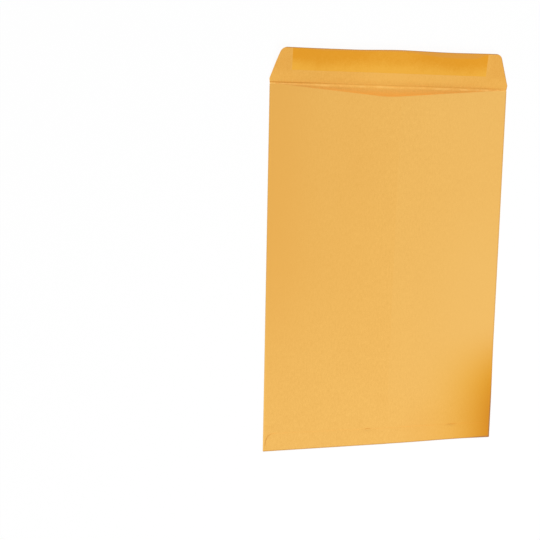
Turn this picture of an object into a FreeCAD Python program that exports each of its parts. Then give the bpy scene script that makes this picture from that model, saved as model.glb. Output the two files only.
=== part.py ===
import FreeCAD, Part
import math
import os

# Kraft open-end catalogue envelope, lying on its face panel with the seam side up and the
# gummed flap open. Millimetres, +Z up, +Y from the bottom fold towards the flap. The origin
# is the centre of the overall box, on the surface that the envelope lies on.

# The sheet and the body that it is folded into
PAPER = 0.15  # caliper of the kraft sheet
BODY_WIDTH = 254.0  # side fold to side fold
BODY_HEIGHT = 381.0  # bottom fold to flap crease
FOLD_GAP = 0.3  # air left between two layers beside a fold

# The two back panels, which overlap in a glued centre seam and stand off the face at the mouth
SEAM_OVERLAP = 15.0
MOUTH_GAP = 8.5  # rise of the back panels at the middle of the mouth

# The mouth: the back panels stop short of the crease and are cut to a shallow V
NECK_HEIGHT = 1.5  # bare face panel between the back panels' top edge and the crease
THROAT_INSET = 10.0  # straight edge left beside each side fold
THROAT_DEPTH = 10.1  # from that edge to where the two slanted cuts would meet
THROAT_RADIUS = 140.0  # rounding where they do meet

# The bottom flap, folded up over the back panels and glued down
BOTTOM_FLAP_HEIGHT = 17.5
BOTTOM_FLAP_INSET = 0.8  # its ends, in from the side folds at the bottom fold
BOTTOM_FLAP_TAPER = 12.0  # degrees that its ends lean in
BOTTOM_FLAP_RADIUS = 9.0

# The sealing flap, open, and leaning up a little from its crease
FLAP_HEIGHT = 36.5
FLAP_LEAN = 10.5  # degrees above the surface
FLAP_BEND_RADIUS = 1.0  # inside radius of the crease
SHOULDER_FLARE = 0.4  # how far each shoulder stands out past the side fold
SHOULDER_RISE = 4.0  # shoulder's height over the crease
FLAP_TAPER = 19.5  # degrees that its ends lean in above the shoulder
FLAP_CORNER_RADIUS = 7.5

# The dried gum on the flap's inner side
GUM_THICKNESS = 0.03
GUM_SIDE_MARGIN = 23.5  # from the side folds to the ends of the strip
GUM_CREASE_MARGIN = 13.0  # from the crease to the strip
GUM_EDGE_MARGIN = 0.6  # from the strip to the flap's top edge

# How far a cutting block runs past what it cuts
RUNOUT = 5.0

HALF_WIDTH = BODY_WIDTH / 2
LEAN = math.radians(FLAP_LEAN)
MOUTH_SLOPE = 2 * math.atan(MOUTH_GAP / HALF_WIDTH)

# The right panel lies next to the face, and the left panel over the right one
RIGHT_STACK = 2 * PAPER + FOLD_GAP
LEFT_STACK = RIGHT_STACK + PAPER

# Along Y the overall box runs from the bottom fold to the leaning flap's top edge
BEND_OUTSIDE = FLAP_BEND_RADIUS + PAPER
BEND_LENGTH = (FLAP_BEND_RADIUS + PAPER / 2) * LEAN
BEND_REACH = BEND_OUTSIDE * math.sin(LEAN)
FLAP_REACH = BEND_REACH + (FLAP_HEIGHT - BEND_LENGTH) * math.cos(LEAN)
BOTTOM_Y = -(BODY_HEIGHT + FLAP_REACH) / 2
CREASE_Y = BOTTOM_Y + BODY_HEIGHT
MOUTH_Y = CREASE_Y - NECK_HEIGHT
TUBE_Y = BOTTOM_Y + (LEFT_STACK + PAPER) / 2
GLUED_Y = BOTTOM_Y + BOTTOM_FLAP_HEIGHT


def vector(x, y, z=0.0):
    return FreeCAD.Vector(x, y, z)


def line(start, end):
    return Part.LineSegment(start, end).toShape()


def arc(start, middle, end):
    return Part.Arc(start, middle, end).toShape()


def rounded_face(corners):
    """Flat face in the XY plane from (x, y, radius) corners, each rounded to its own radius."""
    points = [vector(x, y) for x, y, radius in corners]
    edges = []
    turns = []
    for i, here in enumerate(points):
        radius = corners[i][2]
        back = (points[i - 1] - here).normalize()
        ahead = (points[(i + 1) % len(points)] - here).normalize()
        half_angle = back.getAngle(ahead) / 2
        setback = radius / math.tan(half_angle)
        bisector = (back + ahead).normalize()
        apex = here + bisector * (radius / math.sin(half_angle) - radius)
        turns.append((here + back * setback, apex, here + ahead * setback))
    for i, (enter, apex, leave) in enumerate(turns):
        if corners[i][2] > 0:
            edges.append(arc(enter, apex, leave))
        edges.append(line(leave, turns[(i + 1) % len(turns)][0]))
    return Part.Face(Part.Wire(edges))


def mirrored(corners):
    """Corners of a right-hand half outline, and the same ones mirrored back along the left."""
    return corners + [(-x, y, radius) for x, y, radius in reversed(corners)]


def panel_height(x, fold_radius, slope, inset):
    """Height of a back panel's outside (inset 0) or inside (inset PAPER) at x. The panel
    leaves its side fold at the given slope and bows over to the other one."""
    reach = HALF_WIDTH - fold_radius
    if slope == 0:
        return 2 * fold_radius - inset
    bow_radius = reach / math.sin(slope) + fold_radius - inset
    return fold_radius - reach / math.tan(slope) + math.sqrt(bow_radius**2 - x**2)


def panel_edge(x_start, x_end, y, fold_radius, slope, inset):
    """Section line of a back panel between two places across the envelope."""
    places = (x_start, (x_start + x_end) / 2, x_end)
    points = [vector(x, y, panel_height(x, fold_radius, slope, inset)) for x in places]
    if slope == 0:
        return line(points[0], points[2])
    return arc(*points)


def fold_edge(side, y, fold_radius, slope, inset):
    """Section line of a side fold, from the face panel round to the back panel.
    side is 1 at the right and -1 at the left."""
    radius = fold_radius - inset
    centre_x = HALF_WIDTH - fold_radius
    angles = (-math.pi / 2, -slope / 2, math.pi / 2 - slope)
    points = [
        vector(side * (centre_x + radius * math.cos(a)), y, fold_radius + radius * math.sin(a))
        for a in angles
    ]
    return arc(*points)


def wall_section(y, slope, inset):
    """Closed outline of the folded tube at y: its outside (inset 0) or its inside (inset PAPER)."""
    right_fold = RIGHT_STACK / 2
    left_fold = LEFT_STACK / 2
    right = fold_edge(1, y, right_fold, slope, inset)
    left = fold_edge(-1, y, left_fold, slope, inset)
    seam_x = SEAM_OVERLAP / 2 if inset == 0 else -SEAM_OVERLAP / 2
    right_end = right.Vertexes[-1].Point
    left_end = left.Vertexes[-1].Point
    right_panel = panel_edge(right_end.x, seam_x, y, right_fold, slope, inset)
    left_panel = panel_edge(seam_x, left_end.x, y, left_fold, slope, inset)
    left_middle = left.valueAt((left.FirstParameter + left.LastParameter) / 2)
    edges = [
        line(left.Vertexes[0].Point, right.Vertexes[0].Point),
        right,
        right_panel,
        line(right_panel.Vertexes[-1].Point, left_panel.Vertexes[0].Point),
        left_panel,
        arc(left_end, left_middle, left.Vertexes[0].Point),
    ]
    return Part.Wire(edges)


def tube():
    """Face panel, side folds and back panels, flat where the bottom flap is glued on and
    bowed open towards the mouth."""

    def filled(inset):
        stations = [(TUBE_Y, 0), (GLUED_Y, 0), (MOUTH_Y, MOUTH_SLOPE)]
        wires = [wall_section(y, slope, inset) for y, slope in stations]
        return Part.makeLoft(wires, True, True)

    return filled(0).cut(filled(PAPER))


def throat_block():
    """What the shallow V takes out of the back panels' top edge."""
    edge_x = HALF_WIDTH - THROAT_INSET
    corners = [
        (0, MOUTH_Y - THROAT_DEPTH, THROAT_RADIUS),
        (edge_x, MOUTH_Y, 0),
        (edge_x, MOUTH_Y + RUNOUT, 0),
        (-edge_x, MOUTH_Y + RUNOUT, 0),
        (-edge_x, MOUTH_Y, 0),
    ]
    block = rounded_face(corners).extrude(vector(0, 0, MOUTH_GAP + LEFT_STACK + RUNOUT))
    block.translate(vector(0, 0, PAPER + FOLD_GAP / 2))
    return block


def bottom_turn(x_start, x_end, stack):
    """Strip of the sheet that turns round the bottom fold and lies back over a stack of
    layers, between two places across the envelope."""
    outside = (stack + PAPER) / 2
    inside = outside - PAPER
    turn_y = BOTTOM_Y + outside
    top = stack + PAPER
    edges = [
        line(vector(x_start, GLUED_Y, 0), vector(x_start, turn_y, 0)),
        arc(
            vector(x_start, turn_y, 0),
            vector(x_start, BOTTOM_Y, outside),
            vector(x_start, turn_y, top),
        ),
        line(vector(x_start, turn_y, top), vector(x_start, GLUED_Y, top)),
        line(vector(x_start, GLUED_Y, top), vector(x_start, GLUED_Y, stack)),
        line(vector(x_start, GLUED_Y, stack), vector(x_start, turn_y, stack)),
        arc(
            vector(x_start, turn_y, stack),
            vector(x_start, turn_y - inside, outside),
            vector(x_start, turn_y, PAPER),
        ),
        line(vector(x_start, turn_y, PAPER), vector(x_start, GLUED_Y, PAPER)),
        line(vector(x_start, GLUED_Y, PAPER), vector(x_start, GLUED_Y, 0)),
    ]
    return Part.Face(Part.Wire(edges)).extrude(vector(x_end - x_start, 0, 0))


def bottom_flap():
    """The flap that closes the bottom, stepping down off the seam's free edge."""
    seam_x = SEAM_OVERLAP / 2
    strips = bottom_turn(-HALF_WIDTH, seam_x, LEFT_STACK)
    strips = strips.fuse(bottom_turn(seam_x, HALF_WIDTH, RIGHT_STACK))
    end_x = HALF_WIDTH - BOTTOM_FLAP_INSET
    taper = math.tan(math.radians(BOTTOM_FLAP_TAPER))
    outline = mirrored(
        [
            (end_x + RUNOUT * taper, BOTTOM_Y - RUNOUT, 0),
            (end_x - BOTTOM_FLAP_HEIGHT * taper, GLUED_Y, BOTTOM_FLAP_RADIUS),
        ]
    )
    block = rounded_face(outline).extrude(vector(0, 0, LEFT_STACK + 2 * RUNOUT))
    block.translate(vector(0, 0, -RUNOUT))
    return strips.common(block)


def lean_up(shape):
    """Moves a shape from the flap's own plane, with Y from the crease and Z up through the
    paper, to where the flap leans."""
    shape.rotate(vector(0, 0, 0), vector(1, 0, 0), FLAP_LEAN)
    along = vector(0, math.cos(LEAN), math.sin(LEAN))
    bend_end = vector(0, CREASE_Y + BEND_REACH, BEND_OUTSIDE * (1 - math.cos(LEAN)))
    shape.translate(bend_end - along * BEND_LENGTH)
    return shape


def bend_point(radius, angle, x):
    """Point on the crease's bend, whose axis lies above the sheet."""
    return vector(x, CREASE_Y + radius * math.sin(angle), BEND_OUTSIDE - radius * math.cos(angle))


def sealing_flap():
    """Neck, crease and open flap with its flared shoulders and rounded corners."""
    side_x = -HALF_WIDTH - RUNOUT
    along = vector(0, math.cos(LEAN), math.sin(LEAN)) * (FLAP_HEIGHT + RUNOUT)
    lower = [bend_point(BEND_OUTSIDE, a, side_x) for a in (0, LEAN / 2, LEAN)]
    upper = [bend_point(FLAP_BEND_RADIUS, a, side_x) for a in (0, LEAN / 2, LEAN)]
    edges = [
        line(vector(side_x, MOUTH_Y, 0), lower[0]),
        arc(*lower),
        line(lower[2], lower[2] + along),
        line(lower[2] + along, upper[2] + along),
        line(upper[2] + along, upper[2]),
        arc(*reversed(upper)),
        line(upper[0], vector(side_x, MOUTH_Y, PAPER)),
        line(vector(side_x, MOUTH_Y, PAPER), vector(side_x, MOUTH_Y, 0)),
    ]
    strip = Part.Face(Part.Wire(edges)).extrude(vector(-2 * side_x, 0, 0))
    shoulder_x = HALF_WIDTH + SHOULDER_FLARE
    top_x = shoulder_x - (FLAP_HEIGHT - SHOULDER_RISE) * math.tan(math.radians(FLAP_TAPER))
    outline = mirrored(
        [
            (HALF_WIDTH, -NECK_HEIGHT - RUNOUT, 0),
            (HALF_WIDTH, 0, 0),
            (shoulder_x, SHOULDER_RISE, 0),
            (top_x, FLAP_HEIGHT, FLAP_CORNER_RADIUS),
        ]
    )
    block = rounded_face(outline).extrude(vector(0, 0, 2 * RUNOUT))
    block.translate(vector(0, 0, -RUNOUT))
    return strip.common(lean_up(block))


def envelope_sheet():
    """The one folded sheet, joined where its layers are glued."""
    body = tube().cut(throat_block())
    return body.fuse([bottom_flap(), sealing_flap()]).removeSplitter()


def flap_gum():
    """Strip of dried gum on the flap's inner side."""
    length = BODY_WIDTH - 2 * GUM_SIDE_MARGIN
    width = FLAP_HEIGHT - GUM_CREASE_MARGIN - GUM_EDGE_MARGIN
    corner = vector(-length / 2, GUM_CREASE_MARGIN, PAPER)
    return lean_up(Part.makeBox(length, width, GUM_THICKNESS, corner))


def write(name, shape):
    print(name, len(shape.Solids), "solid", "valid", shape.isValid(), "volume", round(shape.Volume, 2))
    shape.exportStep(f"parts/{name}.step")


os.makedirs("parts", exist_ok=True)
write("envelope_sheet", envelope_sheet())
write("flap_gum", flap_gum())
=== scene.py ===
import math

import bmesh
import bpy
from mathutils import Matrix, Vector, noise


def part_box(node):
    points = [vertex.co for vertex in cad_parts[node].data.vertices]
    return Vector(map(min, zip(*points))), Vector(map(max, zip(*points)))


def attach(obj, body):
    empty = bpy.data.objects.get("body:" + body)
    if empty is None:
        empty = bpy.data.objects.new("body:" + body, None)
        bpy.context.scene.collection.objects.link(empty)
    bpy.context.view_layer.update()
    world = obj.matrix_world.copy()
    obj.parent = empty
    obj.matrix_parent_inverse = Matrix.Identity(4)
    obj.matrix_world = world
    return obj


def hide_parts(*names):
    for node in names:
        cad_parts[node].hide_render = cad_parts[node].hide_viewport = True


# Kraft open-end catalogue envelope, lying on its face panel with the seam side up and the
# gummed flap open. Metres, +Z up, +Y from the bottom fold towards the flap.
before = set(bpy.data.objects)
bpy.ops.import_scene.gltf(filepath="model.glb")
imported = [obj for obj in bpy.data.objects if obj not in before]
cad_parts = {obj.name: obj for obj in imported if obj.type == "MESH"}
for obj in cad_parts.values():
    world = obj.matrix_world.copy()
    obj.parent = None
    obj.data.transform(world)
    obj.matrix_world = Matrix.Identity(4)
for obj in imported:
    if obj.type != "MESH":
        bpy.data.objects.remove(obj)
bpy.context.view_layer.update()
sheet_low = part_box("envelope_sheet")[0]

# The sheet, and the body that it is folded into
PAPER = 0.00015
HALF_WIDTH = 0.127
BODY_HEIGHT = 0.381
FOLD_GAP = 0.0003
SEAM_OVERLAP = 0.015
RIGHT_STACK = 2 * PAPER + FOLD_GAP
LEFT_STACK = RIGHT_STACK + PAPER

# The mouth, where the back panels stand open and are cut to a shallow V
MOUTH_GAP = 0.0085
MOUTH_SLOPE = 2 * math.atan(MOUTH_GAP / HALF_WIDTH)
NECK_HEIGHT = 0.0015
THROAT_INSET = 0.010
THROAT_DEPTH = 0.0101
THROAT_RADIUS = 0.140
THROAT_SHIFT = -0.005  # the cut isn't quite centred

# The bottom flap and the sealing flap: height, how far their ends lean in, corner radius
BOTTOM_FLAP_HEIGHT = 0.0175
BOTTOM_FLAP_INSET = 0.0008
BOTTOM_FLAP_TAPER = math.radians(12)
BOTTOM_FLAP_RADIUS = 0.009
FLAP_HEIGHT = 0.0365
FLAP_TAPER = math.radians(19.5)
FLAP_RADIUS = 0.0075
FLAP_LEAN = math.radians(10.5)
CREASE_RADIUS = 0.001075
SHOULDER_FLARE = 0.0004
SHOULDER_RISE = 0.004

# The dried gum on the sealing flap
GUM_THICKNESS = 0.00003
GUM_SIDE_MARGIN = 0.0235
GUM_CREASE_MARGIN = 0.013
GUM_EDGE_MARGIN = 0.0006
GUM_SHIFT = -0.0017  # the strip isn't quite centred
GUM_WANDER = 0.00018  # unevenness of its ends and of its lower edge
GUM_WANDER_LENGTH = 0.006
GUM_WANDER_REACH = 0.004  # how far in from an edge that is felt

# Places along the sheet, measured from the CAD's own bottom fold
BOTTOM_Y = sheet_low.y
CREASE_Y = BOTTOM_Y + BODY_HEIGHT
MOUTH_Y = CREASE_Y - NECK_HEIGHT
GLUED_Y = BOTTOM_Y + BOTTOM_FLAP_HEIGHT
TURN_Y = BOTTOM_Y + (LEFT_STACK + PAPER) / 2
TURN_LENGTH = math.pi * LEFT_STACK / 2
FOLD_LOW = TURN_Y - TURN_LENGTH  # on the blank, where the bottom flap leaves its fold

# What handling has done to the crease. Pairs here and below are where something sets in or
# fades, and where that ends.
CREASE_SWELL = 0.00016  # how far the face panel swells just below it
SWELL_OFFSET = 0.0024
SWELL_WIDTH = 0.0014
CREASE_STEP = 0.00003  # how far the flap rises just above it, before it eases off
STEP_LENGTH = 0.0015
STEP_FADE = 0.02
CREASE_LEAST = 0.40  # share of both that is left away from the left end
CREASE_WORN = (0.050, 0.100)  # left of the middle
CREASE_LUMPS = 0.5
CREASE_LUMP_LENGTH = 0.011
CREASE_WANDER = 0.0003
CREASE_WANDER_LENGTH = 0.02

# What it has done to the sealing flap
LEAN_WAVE = math.radians(2.4)  # how much the lean varies along it
LEAN_BULGES = ((-0.078, 0.030, 1.0), (0.058, 0.034, 1.15))  # centre, width, weight
LEAN_LEVEL = 0.35  # what the bulges come to where the lean is the flap's own
EDGE_WAVE = 0.0005  # dip of the top edge, at the right bulge
EDGE_SLOPE = 0.0014  # how much shorter the left half is cut
EDGE_SLOPE_ACROSS = (-0.010, 0.045)  # left of the middle
EDGE_START = 0.6  # share of the height above which both are felt

# What it has done to the body
FLAP_SLANT = 0.068  # share by which the bottom flap is higher at its left end
FOLD_SKEW = 0.0009  # how much higher the bottom fold runs towards its right end
FOLD_SKEW_ACROSS = (0.015, 0.105)
FOLD_SKEW_FADE = 0.022  # above the bottom fold
RIPPLE_HEIGHT = 0.00022  # unevenness of the back panels
RIPPLE_LENGTH = 0.085
RIPPLE_FREE_SIDE = 0.03  # how far in from the side fold it is full
RIPPLE_FREE_BELOW = 0.1  # how far above the bottom flap it is full
CURL_HEIGHT = 0.0013  # lift of the bottom right corner
CURL_WIDTH = 0.062  # from the right side fold
CURL_FADE = (0.036, 0.112)  # above the bottom fold
LIFTED_PLACES = ((-0.0135, 0.0046, 0.00045), (0.0820, 0.0064, 0.00045))  # x, reach, lift
LIFT_FLAT = 0.3  # share of its reach over which a place is lifted fully
LIFT_REACH = 0.0030  # how far a lift runs in from the bottom flap's free edge
CORNER_LIFT = 0.00030
CORNER_START = (-0.012, -0.003)  # from the left side fold
SEAM_STEP = 0.0012  # over which the bottom fold steps down beside the seam

# Spacing of the mesh's lines, and where they stand closer
COARSE = 0.003
MEDIUM = 0.0016
FINE = 0.0004
FOLD_STEPS = 8
CORNER_STEPS = 14
CLOSE_OVER_FLAP = 0.004
CLOSE_BELOW_MOUTH = (0.012, 0.002)
CLOSE_AT_SEAM = (-0.002, 0.012)
CUT_LENGTH = 0.04  # below the mouth, over which the rows bend to follow the throat
WELD = PAPER / 15


def stations(start, *stretches):
    """Places in order, from the start through stretches of (end, longest step)."""
    rounding = 0.001
    places = [start]
    for end, step in stretches:
        begin = places[-1]
        count = math.ceil(abs(end - begin) / step - rounding)
        places += [begin + (end - begin) * (i + 1) / count for i in range(count)]
    return places


def patch(across, along):
    """Flat grid with its lines at the given places across (X) and along (Y) the sheet."""
    bm = bmesh.new()
    columns = len(across) - 1
    rows = len(along) - 1
    bmesh.ops.create_grid(bm, x_segments=columns, y_segments=rows, size=0.5)
    for vert in bm.verts:
        column = round((vert.co.x + 0.5) * columns)
        row = round((vert.co.y + 0.5) * rows)
        vert.co = Vector((across[column], along[row], 0))
    return bm


def smooth_step(value, low, high):
    """0 below low and 1 above high."""
    share = min(max((value - low) / (high - low), 0), 1)
    return share * share * (3 - 2 * share)


def near(line, pair):
    """The pair of places, measured from a line."""
    return line + pair[0], line + pair[1]


def bell(value, centre, width):
    """1 at the centre, and 0 well away from it."""
    return math.exp(-(((value - centre) / width) ** 2))


def waver(pattern, x, y=0):
    """Smooth noise from -1 to 1 with lumps one unit long. The pattern picks one of many."""
    return noise.noise(Vector((x, y, pattern)))


def end_half_width(distance, width, taper, height, radius):
    """Half the width of a flap at a distance from its fold, with its corners rounded."""
    centre = height - radius
    if distance <= centre + radius * math.sin(taper):
        return width - distance * math.tan(taper)
    centre_x = width - centre * math.tan(taper) - radius / math.cos(taper)
    return centre_x + math.sqrt(max(radius**2 - (distance - centre) ** 2, 0))


def corner_rows(taper, height, radius):
    """Distances from the fold at which rows follow a flap's rounded corner."""
    angles = stations(taper, (math.pi / 2, (math.pi / 2 - taper) / CORNER_STEPS))
    return [height - radius + radius * math.sin(angle) for angle in angles]


def flap_half_width(distance):
    """Half the width of the sealing flap at a distance from the crease."""
    if distance <= SHOULDER_RISE:
        return HALF_WIDTH + SHOULDER_FLARE * distance / SHOULDER_RISE
    return end_half_width(
        distance - SHOULDER_RISE,
        HALF_WIDTH + SHOULDER_FLARE,
        FLAP_TAPER,
        FLAP_HEIGHT - SHOULDER_RISE,
        FLAP_RADIUS,
    )


def throat_y(x):
    """Top edge of the back panels: straight beside the folds, then a V with a soft point."""
    reach = HALF_WIDTH - THROAT_INSET
    slant = math.atan(THROAT_DEPTH / reach)
    x -= THROAT_SHIFT * max(1 - (x / reach) ** 2, 0)
    if abs(x) > reach:
        return MOUTH_Y
    if abs(x) > THROAT_RADIUS * math.sin(slant):
        return MOUTH_Y - THROAT_DEPTH * (1 - abs(x) / reach)
    centre = MOUTH_Y - THROAT_DEPTH + THROAT_RADIUS / math.cos(slant)
    return centre - math.sqrt(THROAT_RADIUS**2 - x**2)


def crease_form(x, above):
    """What the fold has left at a distance above the crease: the panel swells below the
    valley, and the flap rises out of it steeply and then eases off."""
    strength = CREASE_LEAST + (1 - CREASE_LEAST) * smooth_step(-x, *CREASE_WORN)
    strength *= 1 + CREASE_LUMPS * waver(3.1, x / CREASE_LUMP_LENGTH)
    above += CREASE_WANDER * waver(8.7, x / CREASE_WANDER_LENGTH)
    swell = CREASE_SWELL * bell(above, -SWELL_OFFSET, SWELL_WIDTH)
    step = smooth_step(above, 0, STEP_LENGTH) * (1 - smooth_step(above, STEP_LENGTH, STEP_FADE))
    return strength * (swell + CREASE_STEP * step)


def curl(x, y):
    """Lift of the bottom right corner, which dies out towards the middle and upwards."""
    across = max((x - HALF_WIDTH + CURL_WIDTH) / CURL_WIDTH, 0)
    return CURL_HEIGHT * across**2 * (1 - smooth_step(y - BOTTOM_Y, *CURL_FADE))


def skew(x, y):
    """How far the bottom fold runs up out of square, which dies out above it."""
    fade = 1 - smooth_step(y - BOTTOM_Y, 0, FOLD_SKEW_FADE)
    return FOLD_SKEW * smooth_step(x, *FOLD_SKEW_ACROSS) * fade


def ripple(x, y):
    """Unevenness of the back panels where they stand clear of the face panel."""
    return RIPPLE_HEIGHT * waver(0.4, x / RIPPLE_LENGTH, y / RIPPLE_LENGTH)


def lean_at(x):
    """The open flap's lean, which varies along it."""
    bulges = sum(weight * bell(x, centre, width) for centre, width, weight in LEAN_BULGES)
    return FLAP_LEAN + LEAN_WAVE * (bulges - LEAN_LEVEL)


def on_flap(x, distance, lift=0.0):
    """A point of the sealing flap, lifted off the middle of the paper along its normal."""
    dip_x, dip_width, _ = LEAN_BULGES[1]
    dip = EDGE_WAVE * bell(x, dip_x, dip_width) + EDGE_SLOPE * smooth_step(-x, *EDGE_SLOPE_ACROSS)
    distance -= dip * smooth_step(distance, EDGE_START * FLAP_HEIGHT, FLAP_HEIGHT)
    lean = lean_at(x)
    turned = min(distance / CREASE_RADIUS, lean)
    straight = distance - turned * CREASE_RADIUS
    y = CREASE_Y + CREASE_RADIUS * math.sin(turned) + straight * math.cos(turned)
    z = CREASE_RADIUS * (1 - math.cos(turned)) + straight * math.sin(turned)
    z += PAPER / 2 + crease_form(x, distance)
    return Vector((x, y - lift * math.sin(turned), z + lift * math.cos(turned)))


def flap_lift(x, distance):
    """Where the bottom flap stands off the back panels, near its free edge and left end."""
    near_edge = smooth_step(distance, BOTTOM_FLAP_HEIGHT - LIFT_REACH, BOTTOM_FLAP_HEIGHT)
    lift = 0
    for centre, reach, height in LIFTED_PLACES:
        lift += height * (1 - smooth_step(abs(x - centre), LIFT_FLAT * reach, reach))
    corner = CORNER_LIFT * smooth_step(-x, *near(HALF_WIDTH, CORNER_START))
    return lift * near_edge + corner * smooth_step(distance, 0, BOTTOM_FLAP_HEIGHT / 2)


def on_bottom_flap(x, distance):
    """A point of the bottom fold, or of the bottom flap that lies back over the panels."""
    step = smooth_step(x, SEAM_OVERLAP / 2, SEAM_OVERLAP / 2 + SEAM_STEP)
    radius = (LEFT_STACK - PAPER * step) / 2
    turned = min(distance / TURN_LENGTH, 1) * math.pi
    straight = max(distance - TURN_LENGTH, 0)
    straight += straight * FLAP_SLANT * max(-x, 0) / HALF_WIDTH
    y = TURN_Y - radius * math.sin(turned) + straight
    z = PAPER / 2 + radius * (1 - math.cos(turned))
    return Vector((x, y, z + flap_lift(x, straight)))


def half_width(y, edge):
    """How far the sheet reaches to one side at y of the blank. The edge is where the side
    fold starts."""
    if y > CREASE_Y:
        return flap_half_width(y - CREASE_Y)
    if y > MOUTH_Y:
        return edge + (HALF_WIDTH - edge) * (y - MOUTH_Y) / NECK_HEIGHT
    if y >= TURN_Y:
        return edge
    width = HALF_WIDTH - BOTTOM_FLAP_INSET
    if y > FOLD_LOW:
        return edge + (width - edge) * (TURN_Y - y) / TURN_LENGTH
    return end_half_width(
        FOLD_LOW - y, width, BOTTOM_FLAP_TAPER, BOTTOM_FLAP_HEIGHT, BOTTOM_FLAP_RADIUS
    )


def on_column(x, y):
    """A point of the face panel, or of the flap above or below it."""
    if y > CREASE_Y:
        return on_flap(x, y - CREASE_Y)
    if y < TURN_Y:
        return on_bottom_flap(x, TURN_Y - y)
    return Vector((x, y, PAPER / 2 + crease_form(x, y - CREASE_Y)))


def on_wall(along, outside, slope):
    """Place across (x, z) at a length along the sheet's middle from where a side fold starts,
    for a fold of this outside radius whose panel leaves it at this slope."""
    middle = outside - PAPER / 2
    centre = HALF_WIDTH - outside
    turn = math.pi - slope
    if along < middle * turn:
        angle = along / middle - math.pi / 2
        return centre + middle * math.cos(angle), outside + middle * math.sin(angle)
    rest = along - middle * turn
    if slope == 0:
        return centre - rest, outside + middle
    bow = centre / math.sin(slope) + middle
    angle = slope - rest / bow
    return bow * math.sin(angle), outside - centre / math.tan(slope) + bow * math.cos(angle)


def on_side(side, stack, along, y):
    """A point of a side fold or back panel. The side is 1 at the right and -1 at the left."""
    opened = min(max((y - GLUED_Y) / (MOUTH_Y - GLUED_Y), 0), 1)
    flat = Vector(on_wall(along, stack / 2, 0))
    bowed = Vector(on_wall(along, stack / 2, MOUTH_SLOPE))
    x, z = flat.lerp(bowed, opened)
    free = smooth_step(HALF_WIDTH - x, 0, RIPPLE_FREE_SIDE)
    free *= smooth_step(y, GLUED_Y, GLUED_Y + RIPPLE_FREE_BELOW)
    return Vector((side * x, y, z + ripple(side * x, y) * free))


def place(bm, spot, blank_uv):
    """Folds a flat patch: each vertex goes where spot puts it, and its place on the blank is
    kept as a UV map, so that the fibres run on round the folds."""
    layer = bm.loops.layers.uv.new(blank_uv)
    for face in bm.faces:
        for loop in face.loops:
            loop[layer].uv = loop.vert.co.xy
    for vert in bm.verts:
        vert.co = spot(vert.co.x, vert.co.y)
        vert.co.z += curl(vert.co.x, vert.co.y)
        vert.co.y += skew(vert.co.x, vert.co.y)


def column_rows():
    """Rows of the bottom flap and its fold, from the flap's free edge up."""
    rounded = corner_rows(BOTTOM_FLAP_TAPER, BOTTOM_FLAP_HEIGHT, BOTTOM_FLAP_RADIUS)
    rows = [FOLD_LOW - distance for distance in reversed(rounded)]
    rows += stations(rows[-1], (FOLD_LOW - FINE, MEDIUM), (FOLD_LOW, FINE))[1:]
    rows += stations(FOLD_LOW, (TURN_Y, TURN_LENGTH / FOLD_STEPS))[1:]
    return rows


def body_rows():
    """Rows of the face panel below the mouth, which the back panels share."""
    far, close = CLOSE_BELOW_MOUTH
    return stations(
        TURN_Y,
        (TURN_Y + FINE, FINE),
        (GLUED_Y + CLOSE_OVER_FLAP, MEDIUM),
        (MOUTH_Y - far, COARSE),
        (MOUTH_Y - close, MEDIUM / 2),
        (MOUTH_Y, FINE),
    )


def flap_rows():
    """Rows of the neck, the crease and the sealing flap."""
    rounded = corner_rows(FLAP_TAPER, FLAP_HEIGHT - SHOULDER_RISE, FLAP_RADIUS)
    bend = CREASE_RADIUS * FLAP_LEAN
    rows = stations(
        MOUTH_Y,
        (CREASE_Y, FINE),
        (CREASE_Y + bend, bend / 2),
        (CREASE_Y + SHOULDER_RISE, FINE),
        (CREASE_Y + SHOULDER_RISE + rounded[0], MEDIUM),
    )
    return rows + [CREASE_Y + SHOULDER_RISE + distance for distance in rounded[1:]]


def fold_column(blank_uv):
    """Face panel with the bottom flap and the sealing flap."""
    left = HALF_WIDTH - LEFT_STACK / 2
    right = HALF_WIDTH - RIGHT_STACK / 2
    across = stations(
        -left,
        (-left + FINE, FINE),
        (CLOSE_AT_SEAM[0], COARSE),
        (CLOSE_AT_SEAM[1], MEDIUM),
        (right - FINE, COARSE),
        (right, FINE),
    )
    along = column_rows() + body_rows()[1:] + flap_rows()[1:]
    bm = patch(across, along)
    for vert in bm.verts:
        edge = right if vert.co.x > 0 else left
        vert.co.x *= half_width(vert.co.y, edge) / edge
    place(bm, on_column, blank_uv)
    return bm


def fold_side(side, stack, blank_uv):
    """Side fold and back panel, cut to the throat and folded over the face panel."""
    edge = HALF_WIDTH - stack / 2
    turn = math.pi * (stack - PAPER) / 2
    panel = edge + SEAM_OVERLAP / 2
    along_sheet = stations(
        0,
        (turn, turn / FOLD_STEPS),
        (turn + FINE, FINE),
        (turn + panel - FINE, COARSE),
        (turn + panel, FINE),
    )
    bm = patch([side * (edge + along) for along in along_sheet], body_rows())
    cut_start = MOUTH_Y - CUT_LENGTH
    for vert in bm.verts:
        x = edge - max(abs(vert.co.x) - edge - turn, 0)
        share = max((vert.co.y - cut_start) / (MOUTH_Y - cut_start), 0)
        vert.co.y -= share * (MOUTH_Y - throat_y(side * x))
    place(bm, lambda u, v: on_side(side, stack, abs(u) - edge, v), blank_uv)
    return bm


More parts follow.
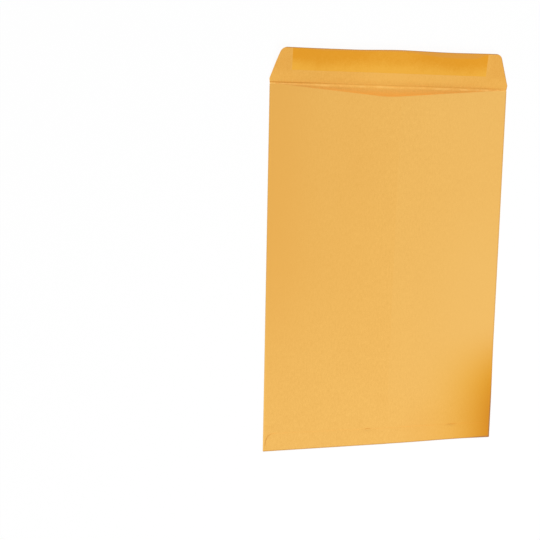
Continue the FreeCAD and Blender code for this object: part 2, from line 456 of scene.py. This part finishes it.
def finished_piece(name, bm, thickness, materials, node):
    """Gives a folded patch its thickness and makes it the piece that stands for a CAD node.
    The materials are those of the outside, the inside and the cut edge."""
    bmesh.ops.remove_doubles(bm, verts=bm.verts, dist=WELD)
    bmesh.ops.recalc_face_normals(bm, faces=bm.faces)
    lowest = [face for face in bm.faces if face.calc_center_median().z < PAPER]
    if sum(face.normal.z * face.calc_area() for face in lowest) > 0:
        bmesh.ops.reverse_faces(bm, faces=bm.faces)
    for edge in bm.edges:
        edge.smooth = not edge.is_boundary
    for face in bm.faces:
        face.smooth = True
    mesh = bpy.data.meshes.new(name)
    bm.to_mesh(mesh)
    bm.free()
    for material in materials:
        mesh.materials.append(material)
    piece = bpy.data.objects.new(name, mesh)
    bpy.context.scene.collection.objects.link(piece)
    wall = piece.modifiers.new("thickness", "SOLIDIFY")
    wall.thickness = thickness
    wall.offset = 0
    wall.use_even_offset = True
    wall.use_quality_normals = True
    wall.material_offset = min(len(materials) - 1, 1)
    wall.material_offset_rim = len(materials) - 1
    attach(piece, "root")
    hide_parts(node)
    return piece


def make_sheet(materials, blank_uv):
    """The one folded sheet."""
    whole = fold_column(blank_uv)
    for side, stack in ((1, RIGHT_STACK), (-1, LEFT_STACK)):
        folded = fold_side(side, stack, blank_uv)
        part = bpy.data.meshes.new("side")
        folded.to_mesh(part)
        folded.free()
        whole.from_mesh(part)
        bpy.data.meshes.remove(part)
    return finished_piece("kraft_sheet", whole, PAPER, materials, "envelope_sheet")


def make_gum(material, blank_uv):
    """The film of dried gum, with the slightly uneven edge of a rolled-on coat."""
    reach = HALF_WIDTH - GUM_SIDE_MARGIN
    low = CREASE_Y + GUM_CREASE_MARGIN
    high = CREASE_Y + FLAP_HEIGHT - GUM_EDGE_MARGIN
    bm = patch(stations(-reach, (reach, MEDIUM)), stations(low, (high, MEDIUM)))
    for vert in bm.verts:
        wander = waver(5.2, vert.co.x / GUM_WANDER_LENGTH, vert.co.y / GUM_WANDER_LENGTH)
        wander *= GUM_WANDER
        outer = smooth_step(abs(vert.co.x), reach - GUM_WANDER_REACH, reach)
        lower = 1 - smooth_step(vert.co.y, low, low + GUM_WANDER_REACH)
        vert.co.x += wander * outer + GUM_SHIFT
        vert.co.y += wander * lower
    lift = (PAPER + GUM_THICKNESS) / 2
    place(bm, lambda u, v: on_flap(u, v - CREASE_Y, lift), blank_uv)
    return finished_piece("gum_film", bm, GUM_THICKNESS, [material], "flap_gum")


class Socket:
    """An output of a material's nodes. Arithmetic on it adds Math nodes."""

    def __init__(self, tree, output=None):
        self.tree = tree
        self.output = output

    def add(self, kind, settings, inputs):
        """Adds a node, sets it up and fills or links its inputs."""
        made = self.tree.nodes.new(kind)
        for name, value in settings.items():
            setattr(made, name, value)
        for key, value in inputs.items():
            if isinstance(value, Socket):
                self.tree.links.new(value.output, made.inputs[key])
            else:
                made.inputs[key].default_value = value
        return made

    def node(self, kind, settings, inputs, output=0):
        """One output of a node that is added."""
        return Socket(self.tree, self.add(kind, settings, inputs).outputs[output])

    def math(self, operation, first, second):
        return self.node("ShaderNodeMath", {"operation": operation}, {0: first, 1: second})

    def __add__(self, other):
        return self.math("ADD", self, other)

    def __radd__(self, other):
        return self.math("ADD", other, self)

    def __sub__(self, other):
        return self.math("SUBTRACT", self, other)

    def __rsub__(self, other):
        return self.math("SUBTRACT", other, self)

    def __mul__(self, other):
        return self.math("MULTIPLY", self, other)

    def __abs__(self):
        return self.math("ABSOLUTE", self, 0)

    def ramp(self, low, high, shape="SMOOTHSTEP"):
        """0 below low and 1 above high."""
        limits = {"Value": self, "From Min": low, "From Max": high}
        return self.node("ShaderNodeMapRange", {"interpolation_type": shape}, limits)

    def fall(self, low, high):
        """1 below low and 0 above high."""
        return 1 - self.ramp(low, high)

    def band(self, rise, drop):
        """Comes up through the pair rise and goes down again through the pair drop."""
        return self.ramp(*rise) * self.fall(*drop)

    def mix(self, start, end):
        """A colour that goes from start to end as this goes from 0 to 1."""
        return self.node("ShaderNodeMix", {"data_type": "RGBA"}, {0: self, 6: start, 7: end}, 2)

    def noise(self, scale, detail=2.0, roughness=0.5):
        """Smooth noise from 0 to 1 on this vector, scale being lumps to the metre."""
        inputs = {"Vector": self, "Scale": scale, "Detail": detail, "Roughness": roughness}
        return self.node("ShaderNodeTexNoise", {"noise_dimensions": "3D"}, inputs)

    def scaled(self, factors):
        """This vector with each of its parts scaled."""
        return self.node("ShaderNodeVectorMath", {"operation": "MULTIPLY"}, {0: self, 1: factors})

    def parts(self):
        """The x, y and z of this vector."""
        split = self.add("ShaderNodeSeparateXYZ", {}, {0: self})
        return [Socket(self.tree, split.outputs[axis]) for axis in "XYZ"]

    def bump(self, height, strength, distance):
        """A normal that stands for this much relief."""
        inputs = {"Strength": strength, "Distance": distance, "Height": height}
        return self.node("ShaderNodeBump", {}, inputs)


def new_material(name):
    """A material with no nodes yet, and a maker of its nodes."""
    material = bpy.data.materials.new(name)
    material.use_nodes = True
    material.node_tree.nodes.clear()
    return material, Socket(material.node_tree)


def surface(maker, settings):
    """Puts a Principled shader on the material, with its constants on the sockets themselves."""
    shader = maker.node("ShaderNodeBsdfPrincipled", {}, settings)
    maker.add("ShaderNodeOutputMaterial", {}, {"Surface": shader})


def rgb(red, green, blue):
    return (red, green, blue, 1.0)


PAPER_PALE = rgb(0.85, 0.486, 0.111)
PAPER_DEEP = rgb(0.73, 0.371, 0.069)
INSIDE_PALE = rgb(0.90, 0.480, 0.092)
INSIDE_DEEP = rgb(0.79, 0.375, 0.055)
# Painted shade for the crease, and a painted highlight for the ridge below it and the left fold
PAPER_CREASE_SHADE = rgb(0.62, 0.22, 0.015)
PAPER_HIGHLIGHT = rgb(0.96, 0.57, 0.140)
# Painted shade at the bottom right corner, warm and deep
PAPER_CORNER_SHADE_WARM = rgb(0.80, 0.40, 0.004)
PAPER_CORNER_SHADE_DEEP = rgb(0.60, 0.22, 0.002)
# Dark lines on folds and cut edges, with painted shade at the bottom right corner
PAPER_DARK_LINE = rgb(0.40, 0.165, 0.035)
# Painted shadow just outside the bottom flap's edge
PAPER_EDGE_SHADOW = rgb(0.64, 0.24, 0.012)
# Painted warm glow in the throat below the crease
PAPER_THROAT_GLOW = rgb(0.95, 0.45, 0.060)
PAPER_CUT = rgb(0.90, 0.54, 0.16)
# Painted warm shade on the back panels, and painted sheen on the right one
PAPER_PANEL_SHADE = rgb(0.775, 0.401, 0.0746)
PAPER_PANEL_SHEEN = rgb(0.796, 0.458, 0.113)
GUM_PALE = rgb(0.885, 0.437, 0.044)
GUM_DEEP = rgb(0.80, 0.334, 0.014)
# Painted shade along the flap's edge, on the gum
GUM_EDGE_SHADE = rgb(0.75, 0.335, 0.048)
FLOOR_PALE = rgb(0.95, 0.95, 0.95)
WHITE = rgb(1, 1, 1)

# The fibres: the paper's tone between deep (0) and pale (1), and how they lie
EVEN_TONE = 0.62
TANGLE_STRETCH = (1.0, 0.35, 1.0)
FLECK_STRETCH = (0.22, 1.0, 1.0)
FLECK_SHARE = (0.70, 0.82)
FLECK_DEPTH = 0.35
PAPER_ROUGHNESS = (0.66, 0.10)  # and how much smoother it is where it is pale

# The painted shade at the bottom right corner, a warm part and a deep part
CORNER_SHADE_WIDTH = 0.098
CORNER_WARM_SHADE_FADE = (0.055, 0.125)  # above the bottom fold
CORNER_WARM_SHADE_STRENGTH = 0.85
CORNER_DEEP_SHADE_FADE = (0.018, 0.140)
CORNER_DEEP_SHADE_LEAST = 0.2

# Painted warm shade on the left back panel and at the right one's foot, and painted sheen on
# the right panel, across and along them from the middle of the whole
SEAM_SOFTNESS = (-0.0003, 0.0003)
PANEL_SHADE_MIDDLE = (0.36, 0.26)  # strength, and how much less beside the seam
PANEL_SHADE_MIDDLE_ACROSS = (-0.050, 0.010)
PANEL_SHADE_MIDDLE_ALONG = (-0.150, 0.000)
PANEL_SHADE_SIDE = 0.64
PANEL_SHADE_SIDE_ACROSS = (-HALF_WIDTH, -0.060)
PANEL_SHADE_SIDE_ALONG = (-0.200, 0.040)
PANEL_SHADE_FOOT = 0.45
PANEL_SHADE_FOOT_ACROSS = ((0.015, 0.045), (0.055, 0.095))
PANEL_SHADE_FOOT_ALONG = (-0.200, -0.150)
PANEL_SHEEN = (0.25, 0.55)  # strength beside the seam, and how much more at the right
PANEL_SHEEN_ACROSS = (0.010, 0.110)
PANEL_SHEEN_TOP = 0.4  # how much of it is lost towards the mouth
PANEL_SHEEN_TOP_ALONG = (-0.040, 0.090)
PANEL_SHEEN_FOOT_ALONG = (-0.190, -0.130)

# Painted shadow just outside the bottom flap's edge, at its left corner and at the lifted places
EDGE_SHADOW_STRENGTH = 0.50
EDGE_SHADOW_LINE = ((-0.0001, 0.0002), (0.0002, 0.0008))
EDGE_SHADOW_CORNER = (-0.006, 0.003)  # across, from the centre of the corner's rounding
EDGE_SHADOW_START = 0.004  # below that centre

# Painted shade on the sealing flap towards its ends, and painted light across two stretches
BESIDE_GUM = 0.30
BESIDE_GUM_ACROSS = (0.098, 0.110)
BESIDE_GUM_ABOVE = (0.006, 0.016)  # above the crease
BELOW_GUM = 0.32
BELOW_GUM_ACROSS = ((-0.050, -0.010), (0.055, 0.095))
BELOW_GUM_ABOVE = (0.002, 0.007)

# Painted shade in the crease, a painted highlight on the ridge below it and a painted warm glow
# in the mouth below the crease
CREASE_SHADE_WANDER = 0.0008
CREASE_SHADE_LINE = ((-0.0004, 0.0001), (0.0005, 0.0015))
CREASE_ENDS = (0.050, 0.098)  # from the middle
CREASE_SHADE_STRENGTH = (0.20, 0.38, 0.36)  # everywhere, more at the ends, less at the right end
CREASE_SHADE_SIDES = (-0.05, 0.05)
CREASE_SHADE_BREAKS = (0.6, 0.8)  # where it is faintest, and how much more elsewhere
RIDGE_LINE = ((-0.0030, -0.0018), (-0.0008, -0.0002))
RIDGE_STRENGTH = (0.40, 0.20)  # everywhere, and more at the ends
RIDGE_BREAKS = (0.35, 1.2)
RIDGE_BREAK_SHARE = (0.38, 0.66)
THROAT_GLOW_START = (-0.0085, -0.0038)
INSIDE_THROAT_GLOW = 0.65

# Painted highlight on the left fold, dark lines on the other folds and cut edges with painted
# shade at the bottom right corner, and how strongly each one shows
SIDE_FOLD = ((-0.0010, -0.0001), (0.0009, 0.0018))  # from the body's side
LEFT_FOLD_HIGHLIGHT = 0.6
RIGHT_HALF = (-0.001, 0.001)
BOTTOM_FOLD = (-0.0010, -0.0003)
BOTTOM_FOLD_OVER = 0.0003  # how far past its lower corner the fold's line fades
BOTTOM_DARK_LINE = (0.38, 0.16, 0.40)  # everywhere, more at the right, more at the corner
BOTTOM_RIGHT = (-0.020, 0.080)
BOTTOM_CORNER = 0.095
CORNER_DARK_LINE = 0.90
CORNER_ACROSS = (-0.026, -0.0015)  # from the right side fold
CORNER_UPPER = (0.0004, 0.0022)
CORNER_LOWER = (-0.0022, -0.0004)
FLAP_EDGE = (-0.0009, -0.0004)
FLAP_EDGE_DARK_LINE = 0.85
FLAP_END = (-0.0010, -0.0003)
FLAP_END_DARK_LINE = 0.45
RIGHT_DARK_LINE = (0.30, 0.70)  # everywhere, and more at the foot
RIGHT_FOOT = (0.004, 0.075)  # above the bottom fold
RIM = (-0.0022, -0.0008)  # from the right side
RIM_DARK_LINE = 0.60

# The gum: where it lies thick or thin, and the painted shade in a strip along the flap's edge
GUM_RUN_STRETCH = (1.0, 0.3, 1.0)
GUM_RUN = 0.008  # how far along the flap its thickness wanders
GUM_THICK_START = -0.002  # from its lower edge
GUM_THICK_END = -0.008  # from the flap's edge
GUM_THIN_MIDDLE = 0.32
GUM_MIDDLE = (0.004, 0.045)
GUM_THIN_LEFT = 0.30
GUM_LEFT = (-0.103, -0.078)
GUM_LEFT_ABOVE = (0.006, 0.014)  # above its lower edge
GUM_MOTTLE = 0.70
GUM_BLOTCHES = 0.55
GUM_SPECKS = 1.1
GUM_ROUGHNESS = (0.50, 0.08)  # and how much its mottling changes it
GUM_RIM = (-0.0012, 0.0006)  # from the flap's edge
GUM_RIM_RUN = 0.002
GUM_RIM_STRENGTH = 0.8
EDGE_SHADE_WIDER_LEFT = 0.0014  # how much wider that strip is than at its left end
EDGE_SHADE_WIDER_LEFT_ACROSS = (-0.098, -0.070)
EDGE_SHADE_WIDER_RIGHT = 0.0036  # how much wider again it is in its right half
EDGE_SHADE_WIDER_RIGHT_ACROSS = ((0.005, 0.055), (0.088, 0.103))

# The floor
FLOOR_HALF = 4
FLOOR_GAP = 0.00005
FLOOR_GLOW = 0.88


def fibres(blank):
    """How pale the kraft is from place to place: fibres, flecks and the clouds of the pulp."""
    patterns = (  # each with how strongly it shows
        (blank.noise(1150, detail=3, roughness=0.65), 1.75),
        (blank.scaled(TANGLE_STRETCH).noise(620, detail=4, roughness=0.7), 1.15),
        (blank.noise(310), 0.30),
        (blank.noise(85), 0.24),
        (blank.noise(11, detail=1), 0.20),
    )
    pale = EVEN_TONE
    for pattern, contrast in patterns:
        pale = pale + (pattern - 0.5) * contrast
    fleck = blank.scaled(FLECK_STRETCH).noise(1900, detail=1).ramp(*FLECK_SHARE)
    return pale - fleck * FLECK_DEPTH


def corner_shade(x, y):
    """How much painted shade, warm and deep, lies at the bottom right corner."""
    across = x.ramp(HALF_WIDTH - CORNER_SHADE_WIDTH, HALF_WIDTH, "LINEAR")
    above = y - BOTTOM_Y
    corner_warm_shade = across * across * above.fall(*CORNER_WARM_SHADE_FADE)
    deepening = CORNER_DEEP_SHADE_LEAST + across * (1 - CORNER_DEEP_SHADE_LEAST)
    corner_deep_shade = across * across * deepening * above.fall(*CORNER_DEEP_SHADE_FADE)
    return corner_warm_shade, corner_deep_shade


def painted_panel_light(x, y):
    """How much painted warm shade lies on the left back panel and at the foot of the right one,
    and how much painted sheen lies on the right panel.
    """
    left = x.fall(*near(SEAM_OVERLAP / 2, SEAM_SOFTNESS))
    middle = PANEL_SHADE_MIDDLE[0] - x.ramp(*PANEL_SHADE_MIDDLE_ACROSS) * PANEL_SHADE_MIDDLE[1]
    middle = middle * y.ramp(*PANEL_SHADE_MIDDLE_ALONG)
    side = x.fall(*PANEL_SHADE_SIDE_ACROSS) * y.ramp(*PANEL_SHADE_SIDE_ALONG) * PANEL_SHADE_SIDE
    foot = x.band(*PANEL_SHADE_FOOT_ACROSS) * y.fall(*PANEL_SHADE_FOOT_ALONG)
    panel_shade = left * (middle + side) + foot * PANEL_SHADE_FOOT
    panel_sheen = (1 - left) * (PANEL_SHEEN[0] + x.ramp(*PANEL_SHEEN_ACROSS) * PANEL_SHEEN[1])
    panel_sheen = panel_sheen * (1 - y.ramp(*PANEL_SHEEN_TOP_ALONG) * PANEL_SHEEN_TOP)
    on_panels = y.fall(MOUTH_Y, CREASE_Y)
    return panel_shade * on_panels, panel_sheen * y.ramp(*PANEL_SHEEN_FOOT_ALONG) * on_panels


def flap_edge_shadow(maker, x, y):
    """How much painted shadow darkens the paper just outside the bottom flap's edge."""
    centre = BOTTOM_FLAP_HEIGHT - BOTTOM_FLAP_RADIUS
    inset = BOTTOM_FLAP_INSET + centre * math.tan(BOTTOM_FLAP_TAPER)
    corner_x = -(HALF_WIDTH - inset - BOTTOM_FLAP_RADIUS / math.cos(BOTTOM_FLAP_TAPER))
    slant = 1 + maker.math("MAXIMUM", x * -1, 0) * (FLAP_SLANT / HALF_WIDTH)
    left = maker.math("MINIMUM", x - corner_x, 0)
    up = maker.math("MAXIMUM", maker.math("DIVIDE", y - TURN_Y, slant) - centre, 0)
    beyond = maker.math("SQRT", left * left + up * up, 0) - BOTTOM_FLAP_RADIUS
    strength = x.fall(*near(corner_x, EDGE_SHADOW_CORNER)) * EDGE_SHADOW_STRENGTH
    for place_x, reach, _ in LIFTED_PLACES:
        strength = strength + abs(x - place_x).fall(reach / 2, reach) * EDGE_SHADOW_STRENGTH
    start = TURN_Y + centre
    return beyond.band(*EDGE_SHADOW_LINE) * strength * y.ramp(start - EDGE_SHADOW_START, start)


def dark_fold_lines(x, y, body_x, body_y, right_fold):
    """How dark the lines along the right and bottom folds and the flap's cut edges are, with
    painted shade at the foot of the right fold and at the bottom right corner. x and y are
    places on the blank, body_x and body_y on the folded sheet."""
    fold_fade = (TURN_Y - TURN_LENGTH / 2, TURN_Y + BOTTOM_FOLD_OVER)
    bottom_fold = y.band(near(FOLD_LOW, BOTTOM_FOLD), fold_fade)
    everywhere, more_right, more_corner = BOTTOM_DARK_LINE
    strength = everywhere + x.ramp(*BOTTOM_RIGHT) * more_right
    strength = strength + x.ramp(BOTTOM_CORNER, HALF_WIDTH) * more_corner
    corner = x.ramp(*near(HALF_WIDTH, CORNER_ACROSS))
    corner = corner * y.fall(*near(TURN_Y, CORNER_UPPER))
    corner = corner * y.ramp(*near(FOLD_LOW, CORNER_LOWER))
    flap_edge = y.ramp(*near(CREASE_Y + FLAP_HEIGHT, FLAP_EDGE))
    flap_end = x + (y - CREASE_Y - SHOULDER_RISE) * math.tan(FLAP_TAPER)
    flap_end = flap_end.ramp(*near(HALF_WIDTH + SHOULDER_FLARE, FLAP_END))
    flap_end = flap_end * (y - CREASE_Y).ramp(SHOULDER_RISE, 2 * SHOULDER_RISE)
    foot = (body_y - BOTTOM_Y).fall(*RIGHT_FOOT)
    rim = body_x.ramp(*near(HALF_WIDTH, RIM)) * foot
    line_darkness = bottom_fold * strength + corner * CORNER_DARK_LINE + flap_edge * FLAP_EDGE_DARK_LINE
    line_darkness = line_darkness + right_fold * (RIGHT_DARK_LINE[0] + foot * RIGHT_DARK_LINE[1])
    return line_darkness + rim * RIM_DARK_LINE + flap_end * FLAP_END_DARK_LINE


def kraft_paper(name, blank_uv, pale_colour, deep_colour, throat_glow):
    """Golden kraft: matt and mottled by its fibres, with painted shade in the crease and a
    painted highlight on the ridge below it and on the left fold, painted shade, sheen and shadow
    on the seam side, and dark lines on folds and cut edges. Throat glow is how strongly a
    painted warm glow lies below the crease."""
    material, maker = new_material(name)
    blank = maker.node("ShaderNodeUVMap", {"uv_map": blank_uv}, {})
    x, y, _ = blank.parts()
    body_x, body_y, height = maker.node("ShaderNodeTexCoord", {}, {}, "Object").parts()
    across = abs(x)

    pale = fibres(blank)
    # Painted shade on the flap's ends, and painted light across two stretches of it
    beside_gum = across.ramp(*BESIDE_GUM_ACROSS) * (y - CREASE_Y).ramp(*BESIDE_GUM_ABOVE)
    below_gum = x.band(*BELOW_GUM_ACROSS) * (y - CREASE_Y).ramp(*BELOW_GUM_ABOVE)
    tone = pale - beside_gum * BESIDE_GUM + below_gum * BELOW_GUM
    colour = tone.mix(deep_colour, pale_colour)

    above = y - CREASE_Y + (blank.noise(45) - 0.5) * CREASE_SHADE_WANDER
    ends = across.ramp(*CREASE_ENDS)
    everywhere, more_ends, less_right = CREASE_SHADE_STRENGTH
    crease_shade = everywhere + ends * (more_ends - x.ramp(*CREASE_SHADE_SIDES) * less_right)
    crease_shade = above.band(*CREASE_SHADE_LINE) * crease_shade * (CREASE_SHADE_BREAKS[0] + blank.noise(90) * CREASE_SHADE_BREAKS[1])
    broken = blank.noise(110, detail=3).ramp(*RIDGE_BREAK_SHARE)
    broken = RIDGE_BREAKS[0] + broken * RIDGE_BREAKS[1]
    ridge_highlight = above.band(*RIDGE_LINE) * (RIDGE_STRENGTH[0] + ends * RIDGE_STRENGTH[1]) * broken
    side_fold = across.band(near(HALF_WIDTH, SIDE_FOLD[0]), near(HALF_WIDTH, SIDE_FOLD[1]))
    right_fold = side_fold * x.ramp(*RIGHT_HALF)
    # Painted highlight on the ridge below the crease and on the left fold, painted shade in the
    # crease
    colour = (ridge_highlight + (side_fold - right_fold) * LEFT_FOLD_HIGHLIGHT).mix(colour, PAPER_HIGHLIGHT)
    colour = crease_shade.mix(colour, PAPER_CREASE_SHADE)
    # Painted warm glow below the crease
    colour = (above.fall(*THROAT_GLOW_START) * throat_glow).mix(colour, PAPER_THROAT_GLOW)

    seam_side = height.ramp(RIGHT_STACK / 3, RIGHT_STACK / 2)
    corner_warm_shade, corner_deep_shade = corner_shade(body_x, body_y)
    panel_shade, panel_sheen = painted_panel_light(body_x, body_y)
    # Painted warm shade and painted sheen on the back panels
    colour = (panel_shade * seam_side).mix(colour, PAPER_PANEL_SHADE)
    colour = (panel_sheen * seam_side).mix(colour, PAPER_PANEL_SHEEN)
    # Painted shade at the bottom right corner
    colour = (corner_warm_shade * seam_side * CORNER_WARM_SHADE_STRENGTH).mix(colour, PAPER_CORNER_SHADE_WARM)
    colour = (corner_deep_shade * seam_side).mix(colour, PAPER_CORNER_SHADE_DEEP)
    # Painted shadow outside the bottom flap's edge
    colour = (flap_edge_shadow(maker, body_x, body_y) * seam_side).mix(colour, PAPER_EDGE_SHADOW)
    # Dark lines on folds and cut edges, with painted shade at the bottom right corner
    line_darkness = dark_fold_lines(x, y, body_x, body_y, right_fold)
    colour = line_darkness.mix(colour, PAPER_DARK_LINE)

    grain = blank.noise(1300, detail=4, roughness=0.7) + blank.noise(260) * 0.6
    settings = {
        "Base Color": colour,
        "Roughness": PAPER_ROUGHNESS[0] - (pale - 0.5) * PAPER_ROUGHNESS[1],
        "Normal": maker.bump(grain, strength=0.22, distance=0.00006),
        "IOR": 1.5,
        "Specular IOR Level": 0.25,
        "Sheen Weight": 0.04,
        "Sheen Roughness": 0.5,
    }
    surface(maker, settings)
    return material


def cut_edge(blank_uv):
    """The sheared edge of the sheet, paler and fuzzier than its faces."""
    material, maker = new_material("kraft_cut_edge")
    blank = maker.node("ShaderNodeUVMap", {"uv_map": blank_uv}, {})
    colour = blank.noise(2600).mix(PAPER_PALE, PAPER_CUT)
    surface(maker, {"Base Color": colour, "Roughness": 0.85, "Specular IOR Level": 0.2})
    return material


def dried_gum(blank_uv):
    """Amber gum film, thin towards the crease and thicker where it has run towards the edge."""
    material, maker = new_material("dried_gum")
    blank = maker.node("ShaderNodeUVMap", {"uv_map": blank_uv}, {})
    x, y, _ = blank.parts()
    low = CREASE_Y + GUM_CREASE_MARGIN
    high = CREASE_Y + FLAP_HEIGHT
    run = blank.scaled(GUM_RUN_STRETCH).noise(28) - 0.5

    thick = (y + run * GUM_RUN).ramp(low + GUM_THICK_START, high + GUM_THICK_END)
    thick = thick - abs(x).fall(*GUM_MIDDLE) * GUM_THIN_MIDDLE
    thick = thick - x.fall(*GUM_LEFT) * (y - low).fall(*GUM_LEFT_ABOVE) * GUM_THIN_LEFT
    mottle = (blank.noise(420, detail=3, roughness=0.6) - 0.5) * GUM_MOTTLE
    mottle = mottle + (blank.noise(110) - 0.5) * GUM_BLOTCHES
    specks = (blank.noise(1000, detail=3, roughness=0.65) - 0.5) * GUM_SPECKS
    colour = (thick + mottle + specks).mix(GUM_PALE, GUM_DEEP)

    # Painted shade in a strip along the flap's edge, wider in its right half
    shade_widening = x.ramp(*EDGE_SHADE_WIDER_LEFT_ACROSS) * EDGE_SHADE_WIDER_LEFT + x.band(*EDGE_SHADE_WIDER_RIGHT_ACROSS) * EDGE_SHADE_WIDER_RIGHT
    rim = (y + run * GUM_RIM_RUN + shade_widening).ramp(*near(high, GUM_RIM))
    colour = (rim * GUM_RIM_STRENGTH).mix(colour, GUM_EDGE_SHADE)

    grain = blank.noise(900, detail=3, roughness=0.6) + blank.noise(150) * 0.8
    settings = {
        "Base Color": colour,
        "Roughness": GUM_ROUGHNESS[0] + mottle * GUM_ROUGHNESS[1],
        "Normal": maker.bump(grain, strength=0.15, distance=0.00004),
        "IOR": 1.48,
        "Specular IOR Level": 0.2,
    }
    surface(maker, settings)
    return material


def background_seen(maker):
    """1 where the camera, a reflection or a clear piece looks at the background."""
    seen = maker.node("ShaderNodeLightPath", {}, {}, "Is Camera Ray")
    for ray in ("Is Glossy Ray", "Is Transmission Ray"):
        seen = maker.math("MAXIMUM", seen, maker.node("ShaderNodeLightPath", {}, {}, ray))
    return seen


def white_floor():
    """Pale floor that shows white and keeps the envelope's shadow."""
    material, maker = new_material("pale_floor")
    diffuse = maker.node("ShaderNodeBsdfDiffuse", {}, {"Color": FLOOR_PALE})
    glow = maker.node("ShaderNodeEmission", {}, {"Color": WHITE, "Strength": 1.0})
    share = background_seen(maker) * FLOOR_GLOW
    shown = maker.node("ShaderNodeMixShader", {}, {0: share, 1: diffuse, 2: glow})
    maker.add("ShaderNodeOutputMaterial", {}, {"Surface": shown})
    bm = bmesh.new()
    bmesh.ops.create_grid(bm, x_segments=1, y_segments=1, size=FLOOR_HALF)
    mesh = bpy.data.meshes.new("floor")
    bm.to_mesh(mesh)
    bm.free()
    mesh.materials.append(material)
    floor = bpy.data.objects.new("floor", mesh)
    floor.location.z = sheet_low.z - FLOOR_GAP
    bpy.context.scene.collection.objects.link(floor)


def lamp(name, kind, spot, energy):
    """Lamp that faces the envelope."""
    light = bpy.data.lights.new(name, kind)
    light.energy = energy
    stand = bpy.data.objects.new(name, light)
    stand.location = spot
    stand.rotation_euler = (-Vector(spot)).to_track_quat("-Z", "Y").to_euler()
    bpy.context.scene.collection.objects.link(stand)
    return light


def studio_light(fill_strength):
    """Even white fill from all round."""
    world = bpy.data.worlds.new("studio")
    world.use_nodes = True
    world.node_tree.nodes.clear()
    maker = Socket(world.node_tree)
    fill = maker.node("ShaderNodeBackground", {}, {"Color": WHITE, "Strength": fill_strength})
    white = maker.node("ShaderNodeBackground", {}, {"Color": WHITE, "Strength": 1.0})
    shown = maker.node("ShaderNodeMixShader", {}, {0: background_seen(maker), 1: fill, 2: white})
    maker.add("ShaderNodeOutputWorld", {}, {"Surface": shown})
    bpy.context.scene.world = world


def look_down(place_over_crease, turn, focal_length, shift):
    """Camera above the envelope and to its left, looking down on the seam side."""
    lens = bpy.data.cameras.new("camera")
    lens.sensor_width = 36
    lens.lens = focal_length
    lens.shift_x, lens.shift_y = shift
    camera = bpy.data.objects.new("camera", lens)
    camera.location = Vector(place_over_crease) + Vector((0, CREASE_Y, 0))
    camera.rotation_euler = [math.radians(angle) for angle in turn]
    bpy.context.scene.collection.objects.link(camera)
    bpy.context.scene.camera = camera


BLANK = "blank"
outside = kraft_paper("kraft_outside", BLANK, PAPER_PALE, PAPER_DEEP, throat_glow=0.0)
inside = kraft_paper("kraft_inside", BLANK, INSIDE_PALE, INSIDE_DEEP, throat_glow=INSIDE_THROAT_GLOW)
make_sheet([outside, inside, cut_edge(BLANK)], BLANK)
make_gum(dried_gum(BLANK), BLANK)
white_floor()
studio_light(fill_strength=0.415)
lamp("key", "SUN", (0.20, 1.28, 1.54), energy=2.05).angle = math.radians(40)
lamp("side", "AREA", (0.42, -0.75, 0.95), energy=3.45).size = 0.6
look_down(
    (-0.2722, -0.0407, 0.7887),
    turn=(-6.823, -11.667, 1.252),
    focal_length=53.316,
    shift=(-0.03, -0.10),
)
bpy.context.scene.view_settings.view_transform = "Standard"
